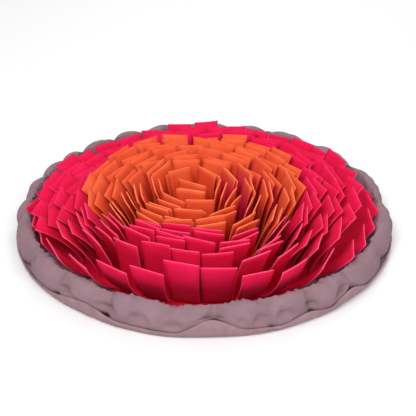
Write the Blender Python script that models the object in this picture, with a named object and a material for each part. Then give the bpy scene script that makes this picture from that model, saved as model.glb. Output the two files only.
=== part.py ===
"""A round snuffle mat for pets: a cloth tray with a puffed, gathered rim, filled with rows of felt leaves.

Metres, +Z up. The origin is the middle of the flat underside, and -Y is the front.
"""

import math
from collections import namedtuple

import bmesh
import bpy
from mathutils import Vector, noise

MM = 0.001
GAP = 0.3 * MM  # air between two pieces that lie on each other

# Base cloth: a flat bottom whose edge turns up as a low skirt round the rim.
CLOTH_THICKNESS = 1.8 * MM
BOTTOM_RADIUS = 195 * MM
SKIRT_FOOT_RADIUS = 199.5 * MM
SKIRT_TOP_RADIUS = 200.5 * MM

# Gathered rim: a soft roll drawn in by its gathers.
RIM_INNER_FOOT = 174 * MM
RIM_INNER_EDGE = 184 * MM
RIM_OUTER_RADIUS = 202 * MM
RIM_HEIGHT = 33 * MM
RIM_STATIONS = 120
RIM_SEAT_INSET = 7 * MM  # from the edge of the flat bottom to where the roll lifts off it
RIM_SHOULDER = 4 * MM
RIM_CROWN_INSET = 10 * MM
RIM_EDGE_DROP = 3 * MM
RIM_EDGE_PULL = 2 * MM
RIM_WALL_SLANT = 5 * MM
SKIRT_TUCK = 2.5 * MM
SKIRT_CLEARANCE = 0.8 * MM
PINCH_INWARD = 9 * MM
PINCH_DOWN = 6 * MM

# Felt leaves: each strip is folded in two and sewn down at its fold, so that both ends stand up.
LEAF_WIDTH = 25.4 * MM
LEAF_LENGTH = 62 * MM
LEAF_THICKNESS = 1.6 * MM
LEAF_STEPS = 3
NUDGE = 0.02  # the share of a leaf over which its slope is measured
SEAM_HALF_WIDTH = 2 * MM  # from the row's middle to the foot of either leaf
TAPE_HALF_WIDTH = 6 * MM
TAPE_THICKNESS = 1.8 * MM
TAPE_SIDES = 40
FIELD_CENTRE = Vector((-1 * MM, -12 * MM, 0))  # the rows sit a little forward of the tray's middle
CENTRE_SHIFT = Vector((-9 * MM, 0, 0))  # and the innermost one lies this far from the outermost one's middle
UP = Vector((0, 0, 1))
QUARTER = math.pi / 2

# How the leaves differ. Lengths are in metres, and leans in degrees.
LOW_FOOT = 83  # the outermost leaves lie low, and curl up along the rim
LOW_END = 30
LOW_LENGTH = 0.84
LOW_TURN = 0.75
SPREAD_FOOT = 1.5
SPREAD_END = 3.5  # a strip's outer leaf leans more than its inner one
LEAN_DRIFT = 5
LEAN_WANDER = 1.5
LENGTH_WANDER = 0.05
SKEW = 0.08  # the cut ends are not quite square
CUT_FROM = 95  # radius in millimetres of the rows whose leaves are cut to the combing's length
STAGGER = 1.2 * MM  # the two leaves of a strip stand this far to either side of its middle
FULL_STAGGER_TURN = 20
WANDER = 0.5 * MM
TURN_DRIFT = 3
TURN_WANDER = 1
SWAY = 3.5 * MM  # how far a leaf's end is pushed sideways
DRIFT_WAVELENGTH = 80 * MM
TURN_LAYER, LEAN_LAYER, SWAY_X_LAYER, SWAY_Y_LAYER = 3.7, 7.1, 11.3, 23.9
PLACE_KEY, LEAN_KEY, LENGTH_KEY, SKEW_KEY, TURN_KEY = 1, 2, 3, 4, 5
SCATTER_WEIGHTS = (12.9898, 78.233, 37.719, 9.151)
SCATTER_SPREAD = 43758.5453

# How the leaves are combed round the mat: azimuth in degrees, the turn of a leaf off the line from the
# middle in degrees (a positive one is anticlockwise), the share of its row's lean that it has, and how low
# the outermost leaves lie.
COMBING = (
    {"azimuth": 10, "turn": 14, "lean": 0.56, "low": 1.0, "length": 0.97},
    {"azimuth": 50, "turn": 5, "lean": 0.8, "low": 1.0, "length": 0.87},
    {"azimuth": 90, "turn": -3, "lean": 1.12, "low": 1.0, "length": 1.0},
    {"azimuth": 130, "turn": -10, "lean": 0.98, "low": 0.96, "length": 0.86},
    {"azimuth": 165, "turn": -17, "lean": 0.97, "low": 0.94, "length": 0.9},
    {"azimuth": 203, "turn": -17, "lean": 0.92, "low": 0.86, "length": 0.98},
    {"azimuth": 228, "turn": -9, "lean": 0.46, "low": 0.75, "length": 1.02},
    {"azimuth": 248, "turn": -4, "lean": 0.12, "low": 0.55, "length": 1.02},
    {"azimuth": 270, "turn": -5, "lean": 0.12, "low": 0.28, "length": 1.02},
    {"azimuth": 292, "turn": 10, "lean": 0.42, "low": 0.55, "length": 1.0},
    {"azimuth": 315, "turn": 27, "lean": 0.56, "low": 0.72, "length": 1.0},
    {"azimuth": 340, "turn": 23, "lean": 0.52, "low": 0.92, "length": 1.0},
)

# Where the rim is gathered: azimuth in degrees, and depth from 0 to 1.
PINCHES = (
    {"azimuth": 3, "depth": 0.7},
    {"azimuth": 27, "depth": 0.8},
    {"azimuth": 48, "depth": 0.9},
    {"azimuth": 66, "depth": 0.5},
    {"azimuth": 78, "depth": 0.9},
    {"azimuth": 99, "depth": 0.6},
    {"azimuth": 114, "depth": 0.8},
    {"azimuth": 126, "depth": 0.8},
    {"azimuth": 141, "depth": 0.9},
    {"azimuth": 150, "depth": 0.6},
    {"azimuth": 162, "depth": 0.8},
    {"azimuth": 177, "depth": 0.9},
    {"azimuth": 189, "depth": 0.5},
    {"azimuth": 207, "depth": 1.0},
    {"azimuth": 225, "depth": 0.7},
    {"azimuth": 243, "depth": 0.9},
    {"azimuth": 255, "depth": 0.4},
    {"azimuth": 273, "depth": 1.0},
    {"azimuth": 288, "depth": 0.6},
    {"azimuth": 300, "depth": 0.9},
    {"azimuth": 315, "depth": 0.8},
    {"azimuth": 336, "depth": 1.0},
)

# Height of the skirt round the tray: azimuth in degrees, height in millimetres.
SKIRT = (
    {"azimuth": 0, "height": 9},
    {"azimuth": 24, "height": 14},
    {"azimuth": 52, "height": 9},
    {"azimuth": 80, "height": 15},
    {"azimuth": 110, "height": 9},
    {"azimuth": 142, "height": 14},
    {"azimuth": 176, "height": 9},
    {"azimuth": 206, "height": 13},
    {"azimuth": 222, "height": 9},
    {"azimuth": 236, "height": 14},
    {"azimuth": 250, "height": 8},
    {"azimuth": 262, "height": 9},
    {"azimuth": 272, "height": 19},
    {"azimuth": 283, "height": 9},
    {"azimuth": 298, "height": 15},
    {"azimuth": 308, "height": 9},
    {"azimuth": 318, "height": 16},
    {"azimuth": 336, "height": 8},
)

# Rows of leaves from the middle outwards: radius of the seam in millimetres, strips in the row, where its
# first strip stands as a share of a strip's spacing, and lean in degrees at a leaf's foot and at its end.
Row = namedtuple("Row", "name felt radius strips start lean_foot lean_end low", defaults=[False])
ROWS = (
    Row("orange_row_1", "orange", radius=13, strips=3, start=0.2, lean_foot=4, lean_end=12),
    Row("orange_row_2", "orange", radius=31, strips=7, start=0.1, lean_foot=5, lean_end=20),
    Row("orange_row_3", "orange", radius=49, strips=11, start=0.4, lean_foot=7, lean_end=29),
    Row("orange_row_4", "orange", radius=66.5, strips=15, start=0.0, lean_foot=10, lean_end=38),
    Row("orange_row_5", "orange", radius=84, strips=19, start=0.6, lean_foot=14, lean_end=45),
    Row("pink_row_1", "pink", radius=101, strips=23, start=0.5, lean_foot=19.5, lean_end=53.5),
    Row("pink_row_2", "pink", radius=117.5, strips=27, start=0.2, lean_foot=25, lean_end=61),
    Row("pink_row_3", "pink", radius=136, strips=31, start=0.7, lean_foot=30, lean_end=68, low=True),
)

# Colour, roughness and metallic value of each cloth.
FINISHES = {
    "base_cloth": ((0.58, 0.42, 0.44), 0.85, 0.0),
    "rim_cloth": ((0.33, 0.27, 0.29), 0.8, 0.0),
    "orange": ((0.90, 0.14, 0.02), 0.9, 0.0),
    "pink": ((0.80, 0.005, 0.06), 0.9, 0.0),
}


def clear_scene():
    for obj in list(bpy.data.objects):
        bpy.data.objects.remove(obj, do_unlink=True)


def finish_material(name):
    colour, roughness, metallic = FINISHES[name]
    material = bpy.data.materials.get(name) or bpy.data.materials.new(name)
    material.use_nodes = True
    shader = material.node_tree.nodes["Principled BSDF"]
    shader.inputs["Base Color"].default_value = (*colour, 1)
    shader.inputs["Roughness"].default_value = roughness
    shader.inputs["Metallic"].default_value = metallic
    return material


def add_object(name, bm, finish, smooth_angle=None):
    """A mesh object from bm, placed in the part's own frame."""
    bmesh.ops.recalc_face_normals(bm, faces=bm.faces)
    mesh = bpy.data.meshes.new(name)
    bm.to_mesh(mesh)
    bm.free()
    mesh.materials.append(finish_material(finish))
    if smooth_angle:
        mesh.shade_smooth()
        mesh.set_sharp_from_angle(angle=math.radians(smooth_angle))
    obj = bpy.data.objects.new(name, mesh)
    bpy.context.scene.collection.objects.link(obj)
    return obj


def ease(share):
    """0 to 1, level at both ends."""
    return share * share * (3 - 2 * share)


def span_at(table, azimuth):
    """The rows of a ring table on either side of an azimuth in degrees, and the share of the way between."""
    azimuth %= 360
    for before, after in zip(table, table[1:] + table[:1]):
        width = (after["azimuth"] - before["azimuth"]) % 360
        way = (azimuth - before["azimuth"]) % 360
        if way < width:
            return before, after, way / width
    return table[-1], table[0], 0.0


def pinch_at(azimuth):
    """How hard the rim is drawn in, from 0 on a lobe's crown to 1 at a deep gather."""
    before, after, share = span_at(PINCHES, azimuth)
    depth = before["depth"] + (after["depth"] - before["depth"]) * ease(share)
    return depth * (1 - math.sqrt(math.sin(math.pi * share)))


def skirt_at(azimuth):
    """Height of the base cloth's turned-up edge."""
    before, after, share = span_at(SKIRT, azimuth)
    return (before["height"] + (after["height"] - before["height"]) * ease(share)) * MM


def rim_section(azimuth):
    """The roll's outline at one azimuth, as (radius, height), from its inner foot round its outside."""
    pinch = pinch_at(azimuth)
    skirt = skirt_at(azimuth)
    foot = CLOTH_THICKNESS + GAP
    outer = RIM_OUTER_RADIUS - PINCH_INWARD * pinch
    top = RIM_HEIGHT - PINCH_DOWN * pinch
    belly = min(outer, SKIRT_TOP_RADIUS - CLOTH_THICKNESS - 2 * GAP)
    return (
        (RIM_INNER_FOOT, foot),
        (BOTTOM_RADIUS - RIM_SEAT_INSET, foot),
        (belly - SKIRT_TUCK, skirt * 0.55),  # inside the skirt
        (belly - GAP, skirt + SKIRT_CLEARANCE),  # over the skirt's edge
        (outer, (skirt + top) / 2),
        (outer - RIM_SHOULDER, top - RIM_SHOULDER),
        (outer - RIM_CROWN_INSET, top),
        (RIM_INNER_EDGE + RIM_EDGE_PULL * pinch, top - RIM_EDGE_DROP),
        (RIM_INNER_EDGE - RIM_WALL_SLANT, top * 0.5),
        (RIM_INNER_FOOT, top * 0.22),
    )


def ring_of_sections(section_at, stations):
    """A closed ring skinned through one outline for each azimuth."""
    bm = bmesh.new()
    loops = []
    for station in range(stations):
        azimuth = 360 * station / stations
        angle = math.radians(azimuth)
        outward = Vector((math.cos(angle), math.sin(angle), 0))
        loops.append([bm.verts.new(outward * radius + Vector((0, 0, height)))
                      for radius, height in section_at(azimuth)])
    for loop, following in zip(loops, loops[1:] + loops[:1]):
        for i in range(len(loop)):
            j = (i + 1) % len(loop)
            bm.faces.new((loop[i], loop[j], following[j], following[i]))
    return bm


def build_rim():
    bm = ring_of_sections(rim_section, RIM_STATIONS)
    return add_object("gathered_rim", bm, "rim_cloth", smooth_angle=50)


def build_base_cloth():
    """The bottom and its skirt are one piece of cloth: a disc whose edge is extruded up and back down."""
    bm = bmesh.new()
    bmesh.ops.create_circle(bm, cap_ends=True, segments=RIM_STATIONS, radius=BOTTOM_RADIUS)
    # Outline of the skirt, as radius and share of its height, from outside foot to inside foot.
    inset = CLOTH_THICKNESS
    rings = (
        (SKIRT_FOOT_RADIUS, 0.22, 0),
        (SKIRT_TOP_RADIUS, 0.95, 0),
        (SKIRT_TOP_RADIUS - inset, 1.0, 0),
        (SKIRT_FOOT_RADIUS - inset - 0.6 * MM, 0.30, inset * 0.6),
        (BOTTOM_RADIUS - 2 * MM, 0.0, inset),
    )
    edges = bm.edges[:]
    for radius, share, lift in rings:
        grown = bmesh.ops.extrude_edge_only(bm, edges=edges)["geom"]
        edges = [item for item in grown if isinstance(item, bmesh.types.BMEdge)]
        for vert in (item for item in grown if isinstance(item, bmesh.types.BMVert)):
            angle = math.atan2(vert.co.y, vert.co.x)
            height = skirt_at(math.degrees(angle)) * share + lift
            vert.co = Vector((radius * math.cos(angle), radius * math.sin(angle), height))
    bmesh.ops.contextual_create(bm, geom=edges)
    return add_object("base_cloth", bm, "base_cloth", smooth_angle=50)


def scatter(*key):
    """A fixed value from -1 to 1 that looks random, one for each key of up to four numbers."""
    seed = sum(value * weight for value, weight in zip(key, SCATTER_WEIGHTS))
    return 2 * ((math.sin(seed) * SCATTER_SPREAD) % 1) - 1


def drift(point, layer):
    """A value from about -1 to 1 that changes slowly over the mat, each layer in its own way."""
    return noise.noise(Vector((point.x / DRIFT_WAVELENGTH, point.y / DRIFT_WAVELENGTH, layer)))


def combed(azimuth, column):
    """A value of the combing table at an azimuth in radians."""
    before, after, share = span_at(COMBING, math.degrees(azimuth))
    return before[column] + (after[column] - before[column]) * ease(share)


def heading(azimuth):
    """The level direction at an angle from +X."""
    return Vector((math.cos(azimuth), math.sin(azimuth), 0))


def row_centre(row):
    inner, outer = ROWS[0].radius, ROWS[-1].radius
    return FIELD_CENTRE + CENTRE_SHIFT * (outer - row.radius) / (outer - inner)


def leans(row, place, side, azimuth, middle):
    """How far a leaf leans from upright at its foot and at its end, in radians."""
    if row.low and side > 0:
        low = combed(azimuth, "low")
        return math.radians(LOW_FOOT) * low, math.radians(LOW_END) * low
    lean = combed(azimuth, "lean")
    waver = LEAN_DRIFT * drift(middle, LEAN_LAYER) + LEAN_WANDER * scatter(row.radius, place, LEAN_KEY)
    foot = row.lean_foot + SPREAD_FOOT * side
    end = row.lean_end + SPREAD_END * side + waver
    return math.radians(foot) * lean, math.radians(end) * lean


def leaf_point(row, place, side, along, across):
    """A point on a leaf's middle surface.

    side is -1 for the strip's inner leaf and 1 for its outer one. along runs from 0 at the seam to 1 at the
    cut end, and across from -0.5 to 0.5 over the width.
    """
    leaf = (row.radius, place, side)
    radius = row.radius * MM
    azimuth = 2 * math.pi * (place + row.start) / row.strips
    azimuth += WANDER * scatter(row.radius, place, PLACE_KEY) / radius
    middle = heading(azimuth) * radius
    turn = combed(azimuth, "turn") + TURN_DRIFT * drift(middle, TURN_LAYER)
    turn += TURN_WANDER * scatter(row.radius, place, TURN_KEY)
    if row.low and side > 0:
        turn *= LOW_TURN
    course = azimuth + math.radians(turn)
    forward, sideways = heading(course), heading(course + QUARTER)
    stagger = STAGGER * max(-1, min(1, turn / FULL_STAGGER_TURN))
    foot = middle + (forward * SEAM_HALF_WIDTH - sideways * stagger) * side

    lean_foot, lean_end = leans(row, place, side, azimuth, middle)
    bend = lean_end - lean_foot
    length = LEAF_LENGTH
    if row.low and side > 0:
        length *= 1 - (1 - LOW_LENGTH) * combed(azimuth, "low")
    if row.radius > CUT_FROM:
        length *= combed(azimuth, "length")
    length *= 1 + LENGTH_WANDER * scatter(*leaf, LENGTH_KEY) + SKEW * scatter(*leaf, SKEW_KEY) * across
    lean = lean_foot + bend * along
    reach = length * (math.cos(lean_foot) - math.cos(lean)) / bend
    rise = length * (math.sin(lean) - math.sin(lean_foot)) / bend
    sway = Vector((drift(middle, SWAY_X_LAYER), drift(middle, SWAY_Y_LAYER), 0)) * SWAY * max(along, 0) ** 1.5
    seat = row_centre(row) + UP * (CLOTH_THICKNESS + GAP + TAPE_THICKNESS / 2)
    return seat + foot + forward * reach + UP * rise + sideways * across * LEAF_WIDTH + sway


def leaf_solid(bm, row, place, side):
    """One felt leaf: a long thin box bent into place."""
    made = bmesh.ops.create_cube(bm, size=1)["verts"]
    geom = made + list({edge for vert in made for edge in vert.link_edges})
    geom += list({face for vert in made for face in vert.link_faces})
    for step in range(1, LEAF_STEPS):
        level = Vector((0, 0, step / LEAF_STEPS - 0.5))
        cut = bmesh.ops.bisect_plane(bm, geom=geom, plane_co=level, plane_no=UP)
        geom = list(set(geom) | set(cut["geom"]) | set(cut["geom_cut"]))
    for vert in {item for item in geom if isinstance(item, bmesh.types.BMVert)}:
        across, through, along = vert.co.x, vert.co.y, vert.co.z + 0.5
        here = leaf_point(row, place, side, along, across)
        above = leaf_point(row, place, side, along + NUDGE, across)
        below = leaf_point(row, place, side, along - NUDGE, across)
        over = leaf_point(row, place, side, along, 0.5) - leaf_point(row, place, side, along, -0.5)
        vert.co = here + over.cross(above - below).normalized() * through * LEAF_THICKNESS


def build_row(row):
    """One row of leaves, fused into the seam tape that they are sewn to."""
    bm = bmesh.new()
    for place in range(row.strips):
        for side in (-1, 1):
            leaf_solid(bm, row, place, side)
    leaves = add_object(row.name + ".leaves", bm, row.felt)
    leaves.hide_render = True
    leaves.display_type = "WIRE"

    bottom = CLOTH_THICKNESS + GAP
    top = bottom + TAPE_THICKNESS
    inner, outer = row.radius * MM - TAPE_HALF_WIDTH, row.radius * MM + TAPE_HALF_WIDTH
    section = ((inner, bottom), (outer, bottom), (outer, top), (inner, top))
    bm = ring_of_sections(lambda azimuth: section, TAPE_SIDES)
    bmesh.ops.translate(bm, verts=bm.verts, vec=row_centre(row))
    tape = add_object(row.name, bm, row.felt)
    union = tape.modifiers.new("leaves", "BOOLEAN")
    union.operation = "UNION"
    union.object = leaves
    return tape


def main():
    clear_scene()
    build_base_cloth()
    build_rim()
    for row in ROWS:
        build_row(row)


main()
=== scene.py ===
# %% [markdown]
# # A round snuffle mat
# A snuffle mat is a cloth tray in which a pet noses for its food. It has a flat base cloth, a soft roll of
# cloth round its edge, and eight rings of folded felt strips, orange in the middle and pink outside. This
# lesson dresses a finished CAD model of one. The model is loaded as a fixed frame, so that each soft piece
# lands where its plain solid is, and sizes are in metres.

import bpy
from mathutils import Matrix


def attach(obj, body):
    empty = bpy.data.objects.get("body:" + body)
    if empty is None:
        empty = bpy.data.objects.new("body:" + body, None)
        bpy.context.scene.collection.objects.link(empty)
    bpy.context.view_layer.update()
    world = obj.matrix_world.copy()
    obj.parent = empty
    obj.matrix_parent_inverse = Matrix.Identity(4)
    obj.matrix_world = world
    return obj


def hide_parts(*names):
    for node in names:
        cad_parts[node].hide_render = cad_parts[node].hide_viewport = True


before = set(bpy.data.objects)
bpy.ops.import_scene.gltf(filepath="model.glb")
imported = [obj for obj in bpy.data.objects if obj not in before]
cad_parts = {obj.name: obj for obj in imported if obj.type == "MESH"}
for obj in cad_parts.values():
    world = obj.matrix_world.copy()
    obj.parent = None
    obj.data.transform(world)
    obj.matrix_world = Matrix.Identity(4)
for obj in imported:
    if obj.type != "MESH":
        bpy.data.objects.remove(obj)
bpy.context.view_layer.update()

# %% Modules and units
import math
from collections import namedtuple

import bmesh
import bpy
from mathutils import Vector, noise

MM = 0.001
UP = Vector((0, 0, 1))
QUARTER = math.pi / 2
scene = bpy.context.scene


def heading(azimuth):
    """The level direction at an angle from +X."""
    return Vector((math.cos(azimuth), math.sin(azimuth), 0))


def in_mm(point):
    """A point's coordinates in whole millimetres, to print."""
    return [round(value / MM) for value in point]


# %% [markdown]
# ## Camera
# The picture looks down at the mat from the front, at 30 degrees and from about a metre. A long lens keeps
# the near and the far side of the mat alike in size. The shift moves the frame without turning the camera.

# %% Camera
IMAGE_SIDE = 416  # pixels
FOCAL_PIXELS = 883.5
AIM = Vector((0, 0, 0.030))
DISTANCE = 0.950
ELEVATION = math.radians(29.96)
FRAME_SHIFT = (0.0097, -0.0207)

lens = bpy.data.cameras.new("camera")
lens.lens = lens.sensor_width * FOCAL_PIXELS / IMAGE_SIDE
lens.shift_x, lens.shift_y = FRAME_SHIFT
camera = bpy.data.objects.new("camera", lens)
camera.location = AIM + Vector((0, -math.cos(ELEVATION), math.sin(ELEVATION))) * DISTANCE
camera.rotation_euler = (QUARTER - ELEVATION, 0, 0)
scene.collection.objects.link(camera)
scene.camera = camera
print("camera:", round(lens.lens, 1), "mm lens")

# %% [markdown]
# ## Light and floor
# Soft studio light shows folds without hard shadows. One large lamp stands high in front and to the left, a
# weaker one near the camera lights the gaps between the leaves, a third lights the back, and a pale world
# does the rest. The floor is pale too. Dyed felt is strong in colour, so the picture is shown with the plain
# transform, which keeps its reds as strong as they are.

# %% Light
WORLD_STRENGTH = 0.49
LAMPS = (
    {"name": "key", "place": (-0.6, -0.9, 1.5), "side": 0.9, "watts": 17},
    {"name": "fill", "place": (0.6, -1.0, 0.85), "side": 0.9, "watts": 7},
    {"name": "back", "place": (0.2, 1.2, 1.2), "side": 0.9, "watts": 8.5},
)
for lamp in LAMPS:
    data = bpy.data.lights.new(lamp["name"], "AREA")
    data.size = lamp["side"]
    data.energy = lamp["watts"]
    light = bpy.data.objects.new(lamp["name"], data)
    light.location = lamp["place"]
    light.rotation_euler = (AIM - light.location).to_track_quat("-Z", "Y").to_euler()
    scene.collection.objects.link(light)

world = bpy.data.worlds.new("studio")
world.use_nodes = True
world.node_tree.nodes["Background"].inputs["Color"].default_value = (1, 1, 1, 1)
world.node_tree.nodes["Background"].inputs["Strength"].default_value = WORLD_STRENGTH
scene.world = world
scene.view_settings.view_transform = "Standard"
print("light:", len(LAMPS), "lamps")


# %% Floor material and floor
FLOOR_COLOUR = (0.9, 0.9, 0.9, 1)
FLOOR_HALF_SIDE = 12


def new_material(name, roughness):
    """A dull material with its node tree and its shader."""
    material = bpy.data.materials.new(name)
    material.use_nodes = True
    shader = material.node_tree.nodes["Principled BSDF"]
    shader.inputs["Roughness"].default_value = roughness
    shader.inputs["Specular IOR Level"].default_value = 0.2  # cloth hardly shines
    return material, material.node_tree, shader


def add_node(tree, kind, **settings):
    """A node of a kind, with its settings and its input values."""
    node = tree.nodes.new(kind)
    for key, value in settings.items():
        if key in node.inputs:
            node.inputs[key].default_value = value
        else:
            setattr(node, key, value)
    return node


floor_material, tree, shader = new_material("pale floor", roughness=0.8)
shader.inputs["Base Color"].default_value = FLOOR_COLOUR
bm = bmesh.new()
bmesh.ops.create_grid(bm, x_segments=1, y_segments=1, size=FLOOR_HALF_SIDE)
floor_mesh = bpy.data.meshes.new("floor")
bm.to_mesh(floor_mesh)
bm.free()
floor_mesh.materials.append(floor_material)
floor = bpy.data.objects.new("floor", floor_mesh)
scene.collection.objects.link(floor)
print("floor:", 2 * FLOOR_HALF_SIDE, "metres wide")

# %% [markdown]
# ## Felt
# Felt has no weave: short fibres lie in all directions, so its colour is a fine mottle and its face is
# slightly rough. Two noises make this, a slow one for the dye and a fast one for the fibres. The cut edges
# take a lighter felt, a painted highlight. Each strip adds a tone of its own, and the same attribute
# carries painted shade, deeper towards the strip's fold and lighter towards its cut ends. Round one place
# on the mat, a second attribute mixes crimson into the orange strips near their folds, as painted shade.


# %% Felt material
# painted shade: the crimson that some orange strips take near their folds
CRIMSON_SHADE = (0.70, 0.005, 0.085, 1)
DEEP_TONE, MIDDLE_TONE, LIGHT_TONE = 0.2, 0.55, 0.95
DYE_SHARE, FIBRE_SHARE = 0.5, 0.45  # how much the slow and the fast noise change the tone


def felt(name, deep, middle, light):
    """Felt whose colour runs from deep to light, and turns crimson where painted crimson shade is laid on.
    """
    material, tree, shader = new_material(name, roughness=0.95)
    place = add_node(tree, "ShaderNodeTexCoord")
    dye = add_node(tree, "ShaderNodeTexNoise", Scale=70, Detail=3)
    fibres = add_node(tree, "ShaderNodeTexNoise", Scale=1500, Detail=4)
    # each strip's own tone, plus painted shade that deepens it towards the fold
    tone_and_shade = add_node(tree, "ShaderNodeAttribute", attribute_name="tone_and_shade")
    mottle = add_node(tree, "ShaderNodeMath", operation="MULTIPLY_ADD")
    shade = add_node(tree, "ShaderNodeMath", operation="MULTIPLY_ADD")
    ramp = add_node(tree, "ShaderNodeValToRGB")
    # painted crimson shade near the folds of some orange strips
    crimson_shade = add_node(tree, "ShaderNodeAttribute", attribute_name="crimson_shade")
    blend = add_node(tree, "ShaderNodeMixRGB", Color2=CRIMSON_SHADE)
    relief = add_node(tree, "ShaderNodeBump", Strength=0.5, Distance=0.4 * MM)
    mottle.inputs[1].default_value = DYE_SHARE
    shade.inputs[1].default_value = FIBRE_SHARE
    stops = ramp.color_ramp.elements
    stops[0].position, stops[1].position = DEEP_TONE, LIGHT_TONE
    stops[0].color, stops[1].color = (*deep, 1), (*light, 1)
    stops.new(MIDDLE_TONE).color = (*middle, 1)
    link = tree.links.new
    link(place.outputs["Object"], dye.inputs["Vector"])
    link(place.outputs["Object"], fibres.inputs["Vector"])
    link(dye.outputs["Fac"], mottle.inputs[0])
    link(fibres.outputs["Fac"], shade.inputs[0])
    link(tone_and_shade.outputs["Fac"], mottle.inputs[2])
    link(mottle.outputs[0], shade.inputs[2])
    link(shade.outputs[0], ramp.inputs["Fac"])
    link(ramp.outputs["Color"], blend.inputs["Color1"])
    link(crimson_shade.outputs["Fac"], blend.inputs["Fac"])
    link(blend.outputs["Color"], shader.inputs["Base Color"])
    link(fibres.outputs["Fac"], relief.inputs["Height"])
    link(relief.outputs["Normal"], shader.inputs["Normal"])
    return material


# the edge felts are lighter: a painted highlight on the cut edges
FELTS = {
    "orange": felt("orange felt", (0.56, 0.028, 0.009), (0.72, 0.062, 0.018), (0.87, 0.130, 0.045)),
    "orange edge": felt("orange felt highlighted edge", (0.86, 0.12, 0.03), (0.92, 0.17, 0.06), (0.98, 0.24, 0.10)),
    "pink": felt("pink felt", (0.50, 0.0003, 0.020), (0.68, 0.001, 0.042), (0.85, 0.008, 0.085)),
    "pink edge": felt("pink felt highlighted edge", (0.86, 0.02, 0.10), (0.92, 0.045, 0.15), (0.97, 0.09, 0.21)),
}
print("felts:", list(FELTS))

# %% [markdown]
# ## Felt strips
# A maker folds each strip in two and sews it down at its fold, so that both ends stand up as leaves. The
# CAD model gives each leaf's place with a function, which is repeated here with its tables. The scene's
# strips follow it on a finer grid: they are thinner, and twist, cup and ripple towards their ends. A combing
# table says how the leaves are turned, leaned and cut round the mat, because a hand has gone through them.

# %% The rows, as in the part
LEAF_WIDTH = 25.4 * MM
LEAF_LENGTH = 62 * MM

# Azimuth and turn in degrees. The rest are shares: of a row's lean, of the low leaves' lean, of a length.
Comb = namedtuple("Comb", "azimuth turn lean low length")
COMBING = (
    Comb(azimuth=10, turn=14, lean=0.56, low=1.0, length=0.97),
    Comb(azimuth=50, turn=5, lean=0.8, low=1.0, length=0.87),
    Comb(azimuth=90, turn=-3, lean=1.12, low=1.0, length=1.0),
    Comb(azimuth=130, turn=-10, lean=0.98, low=0.96, length=0.86),
    Comb(azimuth=165, turn=-17, lean=0.97, low=0.94, length=0.9),
    Comb(azimuth=203, turn=-17, lean=0.92, low=0.86, length=0.98),
    Comb(azimuth=228, turn=-9, lean=0.46, low=0.75, length=1.02),
    Comb(azimuth=248, turn=-4, lean=0.12, low=0.55, length=1.02),
    Comb(azimuth=270, turn=-5, lean=0.12, low=0.28, length=1.02),
    Comb(azimuth=292, turn=10, lean=0.42, low=0.55, length=1.0),
    Comb(azimuth=315, turn=27, lean=0.56, low=0.72, length=1.0),
    Comb(azimuth=340, turn=23, lean=0.52, low=0.92, length=1.0),
)

# Radius in millimetres, start in strips, and the lean of a leaf's foot and end in degrees.
Row = namedtuple("Row", "name felt radius strips start lean_foot lean_end low", defaults=[False])
ROWS = (
    Row("orange_row_1", "orange", radius=13, strips=3, start=0.2, lean_foot=4, lean_end=12),
    Row("orange_row_2", "orange", radius=31, strips=7, start=0.1, lean_foot=5, lean_end=20),
    Row("orange_row_3", "orange", radius=49, strips=11, start=0.4, lean_foot=7, lean_end=29),
    Row("orange_row_4", "orange", radius=66.5, strips=15, start=0.0, lean_foot=10, lean_end=38),
    Row("orange_row_5", "orange", radius=84, strips=19, start=0.6, lean_foot=14, lean_end=45),
    Row("pink_row_1", "pink", radius=101, strips=23, start=0.5, lean_foot=19.5, lean_end=53.5),
    Row("pink_row_2", "pink", radius=117.5, strips=27, start=0.2, lean_foot=25, lean_end=61),
    Row("pink_row_3", "pink", radius=136, strips=31, start=0.7, lean_foot=30, lean_end=68, low=True),
)
print("strips:", sum(row.strips for row in ROWS))


# %% Values that vary along a ring
DRIFT_WAVELENGTH = 80 * MM
SCATTER_WEIGHTS = (12.9898, 78.233, 37.719, 9.151)
SCATTER_SPREAD = 43758.5453


def ease(share):
    """0 to 1, level at both ends."""
    return share * share * (3 - 2 * share)


def span_at(table, azimuth):
    """The rows of a ring table on either side of an azimuth in degrees, and the share of the way between."""
    azimuth %= 360
    for before, after in zip(table, table[1:] + table[:1]):
        width = (after.azimuth - before.azimuth) % 360
        way = (azimuth - before.azimuth) % 360
        if way < width:
            return before, after, way / width
    return table[-1], table[0], 0.0


def at_azimuth(table, azimuth, column):
    """A ring table's value at an azimuth in degrees."""
    before, after, share = span_at(table, azimuth)
    before, after = getattr(before, column), getattr(after, column)
    return before + (after - before) * ease(share)


def scatter(*key):
    """A fixed value from -1 to 1 that looks random, one for each key of up to four numbers."""
    seed = sum(value * weight for value, weight in zip(key, SCATTER_WEIGHTS))
    return 2 * ((math.sin(seed) * SCATTER_SPREAD) % 1) - 1


def drift(point, layer):
    """A value from about -1 to 1 that changes slowly over the mat, each layer in its own way."""
    return noise.noise(Vector((point.x / DRIFT_WAVELENGTH, point.y / DRIFT_WAVELENGTH, layer)))


print("turn at the right of the mat:", round(at_azimuth(COMBING, 0, "turn"), 1), "degrees")

# %% How a leaf leans
FIELD_CENTRE = Vector((-1 * MM, -12 * MM, 0))
CENTRE_SHIFT = Vector((-9 * MM, 0, 0))  # the inner rows lie this much off the outer ones
LOW_FOOT, LOW_END = 83, 30  # lean of the outermost leaves, which lie low, in degrees
SPREAD_FOOT, SPREAD_END = 1.5, 3.5  # how far a strip's two leaves stand apart, in degrees
LEAN_DRIFT, LEAN_WANDER = 5, 1.5
TURN_LAYER, LEAN_LAYER, SWAY_X_LAYER, SWAY_Y_LAYER = 3.7, 7.1, 11.3, 23.9
PLACE_KEY, LEAN_KEY, LENGTH_KEY, SKEW_KEY, TURN_KEY = 1, 2, 3, 4, 5


def row_centre(row):
    """The middle of a row's ring."""
    inner, outer = ROWS[0].radius, ROWS[-1].radius
    return FIELD_CENTRE + CENTRE_SHIFT * (outer - row.radius) / (outer - inner)


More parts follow.
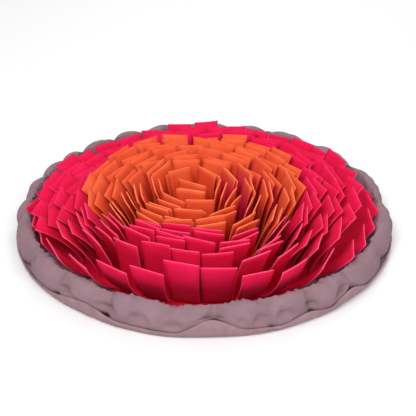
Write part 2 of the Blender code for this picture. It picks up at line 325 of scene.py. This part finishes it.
def leans(row, place, side, azimuth, middle):
    """How far a leaf leans from upright at its foot and at its end, in radians."""
    if row.low and side > 0:
        low = at_azimuth(COMBING, math.degrees(azimuth), "low")
        return math.radians(LOW_FOOT) * low, math.radians(LOW_END) * low
    lean = at_azimuth(COMBING, math.degrees(azimuth), "lean")
    waver = LEAN_DRIFT * drift(middle, LEAN_LAYER) + LEAN_WANDER * scatter(row.radius, place, LEAN_KEY)
    foot = row.lean_foot + SPREAD_FOOT * side
    end = row.lean_end + SPREAD_END * side + waver
    return math.radians(foot) * lean, math.radians(end) * lean


print("middle of the first row, in millimetres:", in_mm(row_centre(ROWS[0])))

# %% Where a leaf lies
CLOTH_THICKNESS = 1.8 * MM
TAPE_THICKNESS = 1.8 * MM
GAP = 0.3 * MM
SEAM_HALF_WIDTH = 2 * MM
LOW_LENGTH = 0.84  # the low leaves are shorter by this factor, and turn less
LOW_TURN = 0.75
LENGTH_WANDER = 0.05
SKEW = 0.08  # how far a leaf's cut end is off square
CUT_FROM = 95  # radius in millimetres of the rows whose leaves are cut to the combing's length
STAGGER = 1.2 * MM
FULL_STAGGER_TURN = 20
WANDER = 0.5 * MM
TURN_DRIFT, TURN_WANDER = 3, 1
SWAY = 3.5 * MM
SWAY_GROWTH = 1.5  # how late the sway sets in towards the cut end


def leaf_point(row, place, side, along, across):
    """A point on a leaf's middle surface, from 0 at the seam to 1 at the cut end, and -0.5 to 0.5 across."""
    leaf = (row.radius, place, side)
    radius = row.radius * MM
    azimuth = 2 * math.pi * (place + row.start) / row.strips
    azimuth += WANDER * scatter(row.radius, place, PLACE_KEY) / radius
    middle = heading(azimuth) * radius
    turn = at_azimuth(COMBING, math.degrees(azimuth), "turn") + TURN_DRIFT * drift(middle, TURN_LAYER)
    turn += TURN_WANDER * scatter(row.radius, place, TURN_KEY)
    if row.low and side > 0:
        turn *= LOW_TURN
    course = azimuth + math.radians(turn)
    forward, sideways = heading(course), heading(course + QUARTER)
    stagger = STAGGER * max(-1, min(1, turn / FULL_STAGGER_TURN))
    foot = middle + (forward * SEAM_HALF_WIDTH - sideways * stagger) * side

    lean_foot, lean_end = leans(row, place, side, azimuth, middle)
    bend = lean_end - lean_foot
    length = LEAF_LENGTH
    if row.low and side > 0:
        length *= 1 - (1 - LOW_LENGTH) * at_azimuth(COMBING, math.degrees(azimuth), "low")
    if row.radius > CUT_FROM:
        length *= at_azimuth(COMBING, math.degrees(azimuth), "length")
    length *= 1 + LENGTH_WANDER * scatter(*leaf, LENGTH_KEY) + SKEW * scatter(*leaf, SKEW_KEY) * across
    lean = lean_foot + bend * along
    reach = length * (math.cos(lean_foot) - math.cos(lean)) / bend
    rise = length * (math.sin(lean) - math.sin(lean_foot)) / bend
    swayed = SWAY * max(along, 0) ** SWAY_GROWTH
    sway = Vector((drift(middle, SWAY_X_LAYER), drift(middle, SWAY_Y_LAYER), 0)) * swayed
    seat = row_centre(row) + UP * (CLOTH_THICKNESS + GAP + TAPE_THICKNESS / 2)
    return seat + foot + forward * reach + UP * rise + sideways * across * LEAF_WIDTH + sway


print("tip of the first leaf, in millimetres:", in_mm(leaf_point(ROWS[0], 0, 1, 1, 0)))

# %% Felt leaves are not flat
CUP = 0.6 * MM  # how far a leaf's long edges stand off its middle, at most
CUP_MIDDLE = 0.4  # share of it that the middle stands back
TWIST = 4 * MM  # a turned leaf twists further that way: one long edge stands this far before the other
LEAST_TWIST, MOST_TWIST = -0.6, 1  # less on the left, where the leaves lie closer together
WIDENING = 1.12  # the leaves are a little wider at their ends
LOW_WIDENING = 1.3
RIPPLE = 0.5 * MM
RIPPLE_WAVELENGTH = 24 * MM
RIPPLE_PHASE = 3.1  # from one strip to the next
CURL = 2.8 * MM  # how far a leaf's end bends forwards or back, and slips sideways, at most
SLIP = 1.6 * MM
CUP_KEY, TONE_KEY, CURL_KEY, SLIP_KEY = 6, 7, 10, 9
SLOPE_STEP = 0.02


def felt_point(row, place, side, along, across):
    """A leaf's point with its twist, cupping and ripples, which grow towards its cut end."""
    widening = LOW_WIDENING if row.low and side > 0 else WIDENING
    point = leaf_point(row, place, side, along, across * (1 + (widening - 1) * along))
    over = leaf_point(row, place, side, along, 0.5) - leaf_point(row, place, side, along, -0.5)
    up = leaf_point(row, place, side, along + SLOPE_STEP, across) - point
    face = over.cross(up).normalized()
    turn = at_azimuth(COMBING, 360 * (place + row.start) / row.strips, "turn")
    twist = TWIST * max(LEAST_TWIST, min(MOST_TWIST, turn / FULL_STAGGER_TURN)) * across
    cup = CUP * scatter(row.radius, place, side, CUP_KEY) * (4 * across * across - CUP_MIDDLE)
    ripple = RIPPLE * noise.noise(point / RIPPLE_WAVELENGTH + Vector((0, 0, place * RIPPLE_PHASE)))
    leaf = (row.radius, place, side)
    bent = face * CURL * scatter(*leaf, CURL_KEY) + over.normalized() * SLIP * scatter(*leaf, SLIP_KEY)
    return point + face * (cup + ripple - twist) * along + bent * along * along


print("the same tip when bent, in millimetres:", in_mm(felt_point(ROWS[0], 0, 1, 1, 0)))

# %% Cut and sew the strips
FELT_THICKNESS = 1.15 * MM
TAPE_HALF_WIDTH = 9 * MM
TAPE_STEP = 0.12 * MM  # each second tape lies this much higher, where they overlap
TAPE_SEGMENTS = 96
STRIP_COLUMNS = 7
STRIP_LINES = 30  # from one cut end over the fold to the other
# painted shade: deeper in colour at a strip's fold, lighter at its cut ends
SHADED_TONE_AT_FOLD, LIT_TONE_AT_END = -0.08, 0.26  # a strip is deeper in colour at its fold
TONE_OF_STRIP = 0.14
# painted crimson shade falls on the orange strips round this place
RED_SHADE_PLACE = Vector((42 * MM, -10 * MM, 0))  # where on the mat the strips turn crimson, and how far round
RED_SHADE_REACH = 40 * MM
RED_SHADE_STRENGTH = 2
SHARP_ANGLE = 60  # degrees


def add_piece(name, bm, materials, smooth_angle=None):
    """An object with its mesh in place, which rides on the mat's one body."""
    mesh = bpy.data.meshes.new(name)
    bm.to_mesh(mesh)
    bm.free()
    for material in materials:
        mesh.materials.append(material)
    if smooth_angle:
        mesh.shade_smooth()
        mesh.set_sharp_from_angle(angle=math.radians(smooth_angle))
    piece = bpy.data.objects.new(name, mesh)
    scene.collection.objects.link(piece)
    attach(piece, "root")
    return piece


def thicken(piece, thickness, rim_material=0):
    """Gives a sheet its thickness, half to each side. The cut edges may take the next material."""
    solid = piece.modifiers.new("thickness", "SOLIDIFY")
    solid.thickness = thickness
    solid.offset = 0
    solid.material_offset_rim = rim_material


def sew_strip(bm, row, place, tone_and_shade, crimson_shade):
    """One felt strip, folded over its seam."""
    made = bmesh.ops.create_grid(bm, x_segments=STRIP_COLUMNS, y_segments=STRIP_LINES, size=1)["verts"]
    dyed = 0.5 + 0.5 * scatter(row.radius, place, TONE_KEY)
    seam = leaf_point(row, place, 1, 0, 0)
    away = math.hypot(seam.x - RED_SHADE_PLACE.x, seam.y - RED_SHADE_PLACE.y) / RED_SHADE_REACH
    crimson = ease(max(0, 1 - away)) if row.felt == "orange" else 0
    for vert in made:
        across, way = vert.co.x / 2, vert.co.y
        side = 1 if way > 0 else -1
        vert.co = felt_point(row, place, side, abs(way), across)
        # the strip's own tone, plus painted shade, deeper towards the fold
        vert[tone_and_shade] = SHADED_TONE_AT_FOLD + TONE_OF_STRIP * dyed + (LIT_TONE_AT_END - SHADED_TONE_AT_FOLD) * way * way
        # painted crimson shade, strongest at the fold
        vert[crimson_shade] = min(1, RED_SHADE_STRENGTH * crimson) * (1 - way ** 4)
    for face in {face for vert in made for face in vert.link_faces}:
        face.smooth = True


def sew_tape(bm, row, tone_and_shade):
    """The flat tape that a row is sewn to."""
    inner_radius, outer_radius = row.radius * MM - TAPE_HALF_WIDTH, row.radius * MM + TAPE_HALF_WIDTH
    made = bmesh.ops.create_circle(bm, segments=TAPE_SEGMENTS, radius=inner_radius)["verts"]
    circle = [edge for edge in bm.edges if edge.is_wire]
    grown = bmesh.ops.extrude_edge_only(bm, edges=circle)["geom"]
    outer = [item for item in grown if isinstance(item, bmesh.types.BMVert)]
    growth = outer_radius / inner_radius
    bmesh.ops.scale(bm, vec=(growth, growth, 1), verts=outer)
    lift = TAPE_STEP * (ROWS.index(row) % 2)
    seat = row_centre(row) + UP * (CLOTH_THICKNESS + GAP + FELT_THICKNESS / 2 + lift)
    bmesh.ops.translate(bm, verts=made + outer, vec=seat)
    for vert in made + outer:
        # the tape takes the painted shade of the folds
        vert[tone_and_shade] = SHADED_TONE_AT_FOLD


for row in ROWS:
    bm = bmesh.new()
    bm.verts.layers.float.new("tone_and_shade")
    bm.verts.layers.float.new("crimson_shade")
    tone_and_shade, crimson_shade = bm.verts.layers.float["tone_and_shade"], bm.verts.layers.float["crimson_shade"]
    for place in range(row.strips):
        sew_strip(bm, row, place, tone_and_shade, crimson_shade)
    sew_tape(bm, row, tone_and_shade)
    bmesh.ops.recalc_face_normals(bm, faces=bm.faces)
    piece = add_piece(row.name + "_felt", bm, [FELTS[row.felt], FELTS[row.felt + " edge"]])
    thicken(piece, FELT_THICKNESS, rim_material=1)
    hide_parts(row.name)
    print(piece.name, len(piece.data.polygons), "faces")

# %% [markdown]
# ## Gathered rim
# The roll round the mat is a tube of thin cloth, gathered at its stitches, so it puffs out into uneven lobes
# with creases running from each gather. A ring spun from one outline gives the tube. The outline then
# follows the CAD roll at each azimuth, and a cloth simulation blows up the part that isn't sewn down. The
# cloth has no slack and stretches instead, because slack cloth buckles in another way each time.

# %% Tables of the gathers and of the base's edge
GATHER_SOFTNESS = 0.7  # 0.5 gives sharp gathers, 1 gives slow waves

Pinch = namedtuple("Pinch", "azimuth depth")
PINCHES = (
    Pinch(3, depth=0.7), Pinch(27, depth=0.8), Pinch(48, depth=0.9), Pinch(66, depth=0.5),
    Pinch(78, depth=0.9), Pinch(99, depth=0.6), Pinch(114, depth=0.8), Pinch(126, depth=0.8),
    Pinch(141, depth=0.9), Pinch(150, depth=0.6), Pinch(162, depth=0.8), Pinch(177, depth=0.9),
    Pinch(189, depth=0.5), Pinch(207, depth=1.0), Pinch(225, depth=0.7), Pinch(243, depth=0.9),
    Pinch(255, depth=0.4), Pinch(273, depth=1.0), Pinch(288, depth=0.6), Pinch(300, depth=0.9),
    Pinch(315, depth=0.8), Pinch(336, depth=1.0),
)
Skirt = namedtuple("Skirt", "azimuth height")
SKIRT = (  # lower between its waves than in the part, so that the roll hangs over it
    Skirt(0, height=4), Skirt(24, height=6), Skirt(52, height=4), Skirt(80, height=7),
    Skirt(110, height=4), Skirt(142, height=6), Skirt(176, height=4), Skirt(206, height=4),
    Skirt(220, height=5), Skirt(236, height=15), Skirt(248, height=6), Skirt(262, height=4.5),
    Skirt(272, height=20), Skirt(282, height=7), Skirt(291, height=5), Skirt(298, height=11),
    Skirt(306, height=6), Skirt(314, height=14), Skirt(323, height=5), Skirt(338, height=4),
)


def pinch_at(azimuth):
    """How hard the rim is drawn in, from 0 on a lobe's crown to 1 at a deep gather."""
    before, after, share = span_at(PINCHES, azimuth)
    depth = before.depth + (after.depth - before.depth) * ease(share)
    return depth * (1 - math.sin(math.pi * share) ** GATHER_SOFTNESS)


def skirt_at(azimuth):
    """Height of the base cloth's turned-up edge."""
    return at_azimuth(SKIRT, azimuth, "height") * MM


print("rim:", len(PINCHES), "gathers, base:", len(SKIRT), "heights of its edge")

# %% Outline of the rim at an azimuth
BOTTOM_RADIUS = 195 * MM
SKIRT_TOP_RADIUS = 200.5 * MM
SKIRT_TUCK = 2.5 * MM
SKIRT_CLEARANCE = 0.8 * MM
SKIRT_PRESS = 1 * MM  # the roll presses against the edge of the base
RIM_INNER_FOOT = 174 * MM
RIM_INNER_EDGE = 184 * MM
RIM_OUTER_RADIUS = 202 * MM
RIM_HEIGHT = 33 * MM
RIM_SEAT_INSET = 7 * MM
RIM_SHOULDER = 4 * MM
RIM_CROWN_INSET = 10 * MM
RIM_EDGE_DROP = 3 * MM
RIM_EDGE_PULL = 2 * MM
RIM_WALL_SLANT = 5 * MM
PINCH_INWARD = 9 * MM
PINCH_DOWN = 6 * MM
PUFF_ROOM = 1.2 * MM  # the tube starts this much inside its final place
TUCK_SHARE = 0.55  # heights of three outline points, as shares of the base's edge and of the roll
WALL_SHARE = 0.5
HEEL_SHARE = 0.22


def rim_outline(azimuth):
    """The roll's outline as (radius, height), from its inner foot round its outside."""
    pinch = pinch_at(azimuth)
    skirt = skirt_at(azimuth)
    foot = CLOTH_THICKNESS + GAP
    outer = RIM_OUTER_RADIUS - PUFF_ROOM - PINCH_INWARD * pinch
    top = RIM_HEIGHT - PUFF_ROOM - PINCH_DOWN * pinch
    belly = min(outer, SKIRT_TOP_RADIUS - CLOTH_THICKNESS - 2 * GAP)
    return (
        Vector((RIM_INNER_FOOT, foot)),
        Vector((BOTTOM_RADIUS - RIM_SEAT_INSET, foot)),
        Vector((belly - SKIRT_TUCK, skirt * TUCK_SHARE)),
        Vector((belly + SKIRT_PRESS, skirt + SKIRT_CLEARANCE)),
        Vector((outer, (skirt + top) / 2)),
        Vector((outer - RIM_SHOULDER, top - RIM_SHOULDER)),
        Vector((outer - RIM_CROWN_INSET, top)),
        Vector((RIM_INNER_EDGE + RIM_EDGE_PULL * pinch, top - RIM_EDGE_DROP)),
        Vector((RIM_INNER_EDGE - RIM_WALL_SLANT, top * WALL_SHARE)),
        Vector((RIM_INNER_FOOT, top * HEEL_SHARE)),
    )


def along_outline(points, way):
    """A point on the smooth closed line through points. way counts points."""
    i = math.floor(way)
    t = way - i
    a, b, c, d = (points[(i + step) % len(points)] for step in (-1, 0, 1, 2))
    square, cube = 2 * a - 5 * b + 4 * c - d, 3 * b - a - 3 * c + d
    return 0.5 * (2 * b + (c - a) * t + square * t ** 2 + cube * t ** 3)


print("outline:", len(rim_outline(0)), "points")

# %% Spin the tube
RIM_STATIONS = 540
STEPS_OF_OUTLINE = (2, 4, 3, 3, 3, 3, 5, 5, 3, 2)  # grid steps from each outline point to the next

ways = [point + step / steps for point, steps in enumerate(STEPS_OF_OUTLINE) for step in range(steps)]
bm = bmesh.new()
way_of = bm.verts.layers.float.new("way")
start = rim_outline(0)
ring = []
for way in ways:
    place = along_outline(start, way)
    ring.append(bm.verts.new((place.x, 0, place.y)))
    ring[-1][way_of] = way
for vert, following in zip(ring, ring[1:] + ring[:1]):
    bm.edges.new((vert, following))
bmesh.ops.spin(bm, geom=ring + bm.edges[:], axis=UP, cent=(0, 0, 0), angle=2 * math.pi,
               steps=RIM_STATIONS, use_merge=True)
for vert in bm.verts:
    azimuth = math.degrees(math.atan2(vert.co.y, vert.co.x)) % 360
    place = along_outline(rim_outline(azimuth), vert[way_of])
    vert.co = heading(math.radians(azimuth)) * place.x + UP * place.y
bmesh.ops.recalc_face_normals(bm, faces=bm.faces)
print("rim tube:", len(bm.verts), "points")

# %% [markdown]
# ## Two cloths
# The rim and the base are soft woven cloths, mauve grey and a paler pink. At this size their threads are
# too fine to see, so a fine bump stands for the weave, and a slow mottle for the uneven dye and the nap.
# The base is felted more coarsely, so its mottle is stronger.


# %% Cloth material
def soft_cloth(name, colour, mottle_scale, mottle, relief_height):
    """A matt cloth whose colour wavers by a share of itself."""
    material, tree, shader = new_material(name, roughness=0.95)
    place = add_node(tree, "ShaderNodeTexCoord")
    patches = add_node(tree, "ShaderNodeTexNoise", Scale=mottle_scale, Detail=5, Roughness=0.62)
    threads = add_node(tree, "ShaderNodeTexNoise", Scale=1100, Detail=2)
    ramp = add_node(tree, "ShaderNodeValToRGB")
    relief = add_node(tree, "ShaderNodeBump", Strength=0.6, Distance=relief_height)
    for stop, position, share in zip(ramp.color_ramp.elements, (0.3, 0.7), (1 - mottle, 1 + mottle)):
        stop.position = position
        stop.color = (*(channel * share for channel in colour), 1)
    link = tree.links.new
    link(place.outputs["Object"], patches.inputs["Vector"])
    link(place.outputs["Object"], threads.inputs["Vector"])
    link(patches.outputs["Fac"], ramp.inputs["Fac"])
    link(ramp.outputs["Color"], shader.inputs["Base Color"])
    link(threads.outputs["Fac"], relief.inputs["Height"])
    link(relief.outputs["Normal"], shader.inputs["Normal"])
    return material


RIM_CLOTH = soft_cloth("rim cloth", colour=(0.27, 0.168, 0.196), mottle_scale=55, mottle=0.10,
                       relief_height=0.3 * MM)
BASE_CLOTH = soft_cloth("base cloth", colour=(0.335, 0.203, 0.232), mottle_scale=90, mottle=0.16,
                        relief_height=0.4 * MM)
print("cloths:", RIM_CLOTH.name, "and", BASE_CLOTH.name)

# %% How to blow up a tube
FRAMES = 20


def blow_up(piece, weights, stiffness, pressure, most):
    """Simulates the piece as cloth with air in it, and keeps the result. weights say what is held."""
    mesh = piece.data
    before = [vert.co.copy() for vert in mesh.vertices]
    group = piece.vertex_groups.new(name="sewn down")
    for index, weight in enumerate(weights):
        if weight > 0:
            group.add([index], weight, "REPLACE")
    cloth = piece.modifiers.new("cloth", "CLOTH")
    cloth.settings.vertex_group_mass = group.name
    cloth.settings.use_pressure = True
    cloth.settings.uniform_pressure_force = pressure
    cloth.settings.tension_stiffness = cloth.settings.compression_stiffness = stiffness
    cloth.settings.effector_weights.gravity = 0
    cloth.collision_settings.use_collision = False
    for number in range(1, FRAMES + 1):
        scene.frame_set(number)
    shaped = piece.evaluated_get(bpy.context.evaluated_depsgraph_get()).to_mesh()
    moved = [vert.co - start for vert, start in zip(shaped.vertices, before)]
    for vert, start, move in zip(mesh.vertices, before, moved):
        vert.co = start + move * min(1, most / max(move.length, 1e-9))
    print(piece.name, "moved", round(max(move.length for move in moved) / MM, 1), "mm at most")
    piece.modifiers.remove(cloth)
    piece.vertex_groups.remove(group)
    scene.frame_set(1)


print("simulation:", FRAMES, "frames")

# %% Blow up the rim
PRESSURE = 14
STIFFNESS = 2  # low, so that the cloth puffs out between its gathers
MOST_PUFF = 6 * MM
OPEN_START, OPEN_END = 3, 8  # the tube isn't sewn down between these places on its outline
EDGE_WAY = 7
EDGE_SEAM = 0.35
GATHER_HOLD = 1.5
ROUGHNESS = 0.35 * MM
ROUGH_WAVELENGTH = 11 * MM


def rim_hold(vert, way):
    """How firmly a point of the tube is held: sewn at its foot, its inner edge and its gathers."""
    azimuth = math.degrees(math.atan2(vert.y, vert.x)) % 360
    if way < OPEN_START or way > OPEN_END or vert.z < skirt_at(azimuth) + 2 * SKIRT_CLEARANCE:
        return 1.0
    edge = max(0, 1 - abs(way - EDGE_WAY) / EDGE_SEAM)
    return min(1, max(edge, pinch_at(azimuth) ** GATHER_HOLD))


ways_of_points = [vert[way_of] for vert in bm.verts]
for vert in bm.verts:
    if OPEN_START < vert[way_of] < OPEN_END:
        vert.co += noise.noise_vector(vert.co / ROUGH_WAVELENGTH) * ROUGHNESS
rim = add_piece("puffed_rim", bm, [RIM_CLOTH], smooth_angle=SHARP_ANGLE)
holds = [rim_hold(vert.co, way) for vert, way in zip(rim.data.vertices, ways_of_points)]
blow_up(rim, holds, STIFFNESS, PRESSURE, MOST_PUFF)
print("rim:", len(rim.data.vertices), "points")

# %% [markdown]
# ## Folds, pockets and pleats
# Air alone gives round lobes. On a sewn rim the cloth also hangs in soft folds, dips in where it meets the
# base, and stands in small pleats along its inner edge, where a thread gathers it. These are laid over the
# simulated tube by moving each point towards or away from the middle of the roll. The pleats need more
# points than the simulation does, so the rings near the inner edge are divided first.

# %% Pockets
POCKET_FOOT = 3  # place on the outline where a pocket starts
POCKET_REACH = 1.05  # a pocket narrows upwards, and ends a little past its top
POCKET_SIDES = 1.5  # the higher these are, the sooner it is at its depth
POCKET_TOP = 1.6

Pocket = namedtuple("Pocket", "azimuth width depth top")  # degrees, degrees, millimetres, way
POCKETS = (
    Pocket(2, width=3, depth=4, top=6.4), Pocket(9, width=2.5, depth=3, top=6.4),
    Pocket(37, width=4, depth=4, top=6.2), Pocket(48, width=3, depth=3, top=6.0),
    Pocket(162, width=3, depth=4, top=6.6), Pocket(172, width=2.5, depth=4, top=6.6),
    Pocket(179, width=2.5, depth=4, top=6.6), Pocket(187, width=2.5, depth=4, top=6.6),
    Pocket(211, width=3.5, depth=7, top=6.8), Pocket(229, width=5, depth=7, top=5.6),
    Pocket(243, width=5, depth=6, top=5.4), Pocket(252.5, width=5, depth=4.5, top=5.0),
    Pocket(262, width=5, depth=4.5, top=5.0), Pocket(272, width=5, depth=7, top=5.6),
    Pocket(280, width=3, depth=3, top=5.0), Pocket(285, width=4, depth=4.5, top=5.0),
    Pocket(292, width=4, depth=6.5, top=5.6), Pocket(300, width=3.5, depth=5.5, top=5.4),
    Pocket(311, width=4.5, depth=8, top=5.8), Pocket(331, width=4, depth=7, top=6.4),
)


def pocket_at(azimuth, way):
    """How deep the cloth dips in: a triangle that stands on the base's edge and narrows upwards."""
    deepest = 0
    for pocket in POCKETS:
        off = abs((azimuth - pocket.azimuth + 180) % 360 - 180) / pocket.width
        up = max(0, way - POCKET_FOOT) / (pocket.top - POCKET_FOOT)
        if up < 1 and off < 1:
            inside = max(0, 1 - off / (POCKET_REACH - up))
            across, along = ease(min(1, POCKET_SIDES * inside)), ease(min(1, POCKET_TOP * (1 - up)))
            deepest = max(deepest, pocket.depth * across * along)
    return deepest * MM


print("pockets:", len(POCKETS))

# %% Folds and pleats
ROLL_RADIUS = 190 * MM  # the middle of the roll
ROLL_HEIGHT = 15 * MM
FOLD_HEIGHT = 2.4 * MM
FOLD_WIDTH = 26 * MM
FOLD_SLANT = 0.5
FOLD_CREST = 0.6  # what is higher than this stays as it is, so that folds are valleys
FOLD_LAYER, FOLD_STRETCH = 4.7, 0.35
PLEAT_HEIGHT = 2.6 * MM
PLEAT_WIDTH = 5.2 * MM
PLEAT_WAYS = (5.2, 7.9)  # the pleats run between these places on the outline, and are highest at its edge
PLEAT_LAYER, PLEAT_STRETCH = 9.1, 0.25
PLEAT_LIFT = 0.6
DIP_AZIMUTH = 262  # the inner edge hangs lower here
DIP_WIDTH = 8
DIP_DEPTH = 4.5 * MM
FADE_IN = (3.2, 0.6)  # the folds fade in after the first place on the outline, over the second
FADE_OUT = (8.2, 0.8)


def billow(*place):
    """A noise with round tops and sharp valleys, as puffed cloth has, from 0 to about 1."""
    return min(1, 2 * abs(noise.noise(Vector(place))))


def fade(share):
    """An eased share that is kept between 0 and 1."""
    return ease(max(0, min(1, share)))


def dress(point, way):
    """A point of the blown-up tube with the folds, pockets and pleats on it."""
    angle = math.atan2(point.y, point.x)
    round_way = angle * ROLL_RADIUS
    middle = heading(angle) * ROLL_RADIUS + UP * ROLL_HEIGHT
    out = (point - middle).normalized()
    azimuth = math.degrees(angle) % 360
    open_share = fade((way - FADE_IN[0]) / FADE_IN[1]) * fade((FADE_OUT[0] - way) / FADE_OUT[1])
    fold = billow(round_way / FOLD_WIDTH + way * FOLD_SLANT, way * FOLD_STRETCH, FOLD_LAYER) - FOLD_CREST
    dip = fade(1 - abs(azimuth - DIP_AZIMUTH) / DIP_WIDTH) * DIP_DEPTH
    start, end = PLEAT_WAYS
    nearness = (way - start) / (EDGE_WAY - start) if way < EDGE_WAY else (end - way) / (end - EDGE_WAY)
    pleat = billow(round_way / PLEAT_WIDTH, way * PLEAT_STRETCH, PLEAT_LAYER) * max(0, nearness) ** 2
    inward = FOLD_HEIGHT * min(0, fold) - pocket_at(azimuth, way)
    return (point + out * inward * open_share + (UP + out) * PLEAT_LIFT * PLEAT_HEIGHT * pleat
            - UP * dip * open_share)


top = heading(-QUARTER) * ROLL_RADIUS + UP * RIM_HEIGHT
print("a point of the roll at", in_mm(top), "is dressed to", in_mm(dress(top, EDGE_WAY)))

# %% Dress the rim
SAME_RING = 0.01  # points on one ring differ by less in their place on the outline

bm = bmesh.new()
bm.from_mesh(rim.data)
way_of = bm.verts.layers.float["way"]
rings = [edge for edge in bm.edges
         if abs(edge.verts[0][way_of] - edge.verts[1][way_of]) < SAME_RING
         and PLEAT_WAYS[0] < edge.verts[0][way_of] < PLEAT_WAYS[1]]
bmesh.ops.subdivide_edges(bm, edges=rings, cuts=1, use_grid_fill=True)
for vert in bm.verts:
    vert.co = dress(vert.co, vert[way_of])
bm.to_mesh(rim.data)
bm.free()
smooth = rim.modifiers.new("smooth", "SUBSURF")
smooth.levels = smooth.render_levels = 1
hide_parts("gathered_rim")
print("rim:", len(rim.data.vertices), "points")

# %% [markdown]
# ## Base cloth
# The bottom is one round of thick cloth whose edge is turned up round the roll, in slow waves. A small disc
# is grown outwards ring by ring, which keeps the cloth one sheet, and each ring then takes its height from
# the edge's waves. Solidify gives the thickness, and a bevel rounds the cut edge.

# %% Rings of the base
BASE_STATIONS = 360
HUB_RADIUS = 12 * MM
WAVE_HEIGHT = 0.6 * MM
WAVE_WIDTH = 9 * MM
WAVE_LAYER = 2.3
BaseRing = namedtuple("BaseRing", "radius rise")
BASE_RINGS = (  # radius of the cloth's middle surface in millimetres, and share of the edge's height
    BaseRing(60, 0), BaseRing(120, 0), BaseRing(170, 0), BaseRing(188, 0), BaseRing(194, 0),
    BaseRing(197.2, 0.07), BaseRing(198.6, 0.2), BaseRing(199.3, 0.4), BaseRing(199.7, 0.6),
    BaseRing(200.0, 0.8), BaseRing(200.2, 0.94), BaseRing(200.2, 1.05),
)


def grow(bm, edges, radius, rise):
    """The next ring of the base, at a radius, with its share of the edge's height."""
    grown = bmesh.ops.extrude_edge_only(bm, edges=edges)["geom"]
    for vert in (item for item in grown if isinstance(item, bmesh.types.BMVert)):
        angle = math.atan2(vert.co.y, vert.co.x)
        height = skirt_at(math.degrees(angle)) * rise
        place = Vector((angle * radius / WAVE_WIDTH, height / WAVE_WIDTH, WAVE_LAYER))
        wave = noise.noise(place) * WAVE_HEIGHT
        vert.co = heading(angle) * (radius + wave * min(1, 3 * rise)) + UP * height
    return [item for item in grown if isinstance(item, bmesh.types.BMEdge)]


print("base:", len(BASE_RINGS), "rings of", BASE_STATIONS, "points")

# %% Base cloth
EDGE_ROUNDING = 0.6 * MM

bm = bmesh.new()
bmesh.ops.create_circle(bm, cap_ends=True, cap_tris=True, segments=BASE_STATIONS, radius=HUB_RADIUS)
edges = [edge for edge in bm.edges if edge.is_boundary]
for ring in BASE_RINGS:
    edges = grow(bm, edges, ring.radius * MM, ring.rise)
bmesh.ops.recalc_face_normals(bm, faces=bm.faces)
bmesh.ops.translate(bm, verts=bm.verts, vec=UP * CLOTH_THICKNESS / 2)
base = add_piece("turned_up_base", bm, [BASE_CLOTH], smooth_angle=SHARP_ANGLE)
thicken(base, CLOTH_THICKNESS)
edge = base.modifiers.new("soft edge", "BEVEL")
edge.width = EDGE_ROUNDING
edge.segments = 2
edge.limit_method = "ANGLE"
edge.angle_limit = math.radians(SHARP_ANGLE)
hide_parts("base_cloth")
print("base:", len(base.data.polygons), "faces")
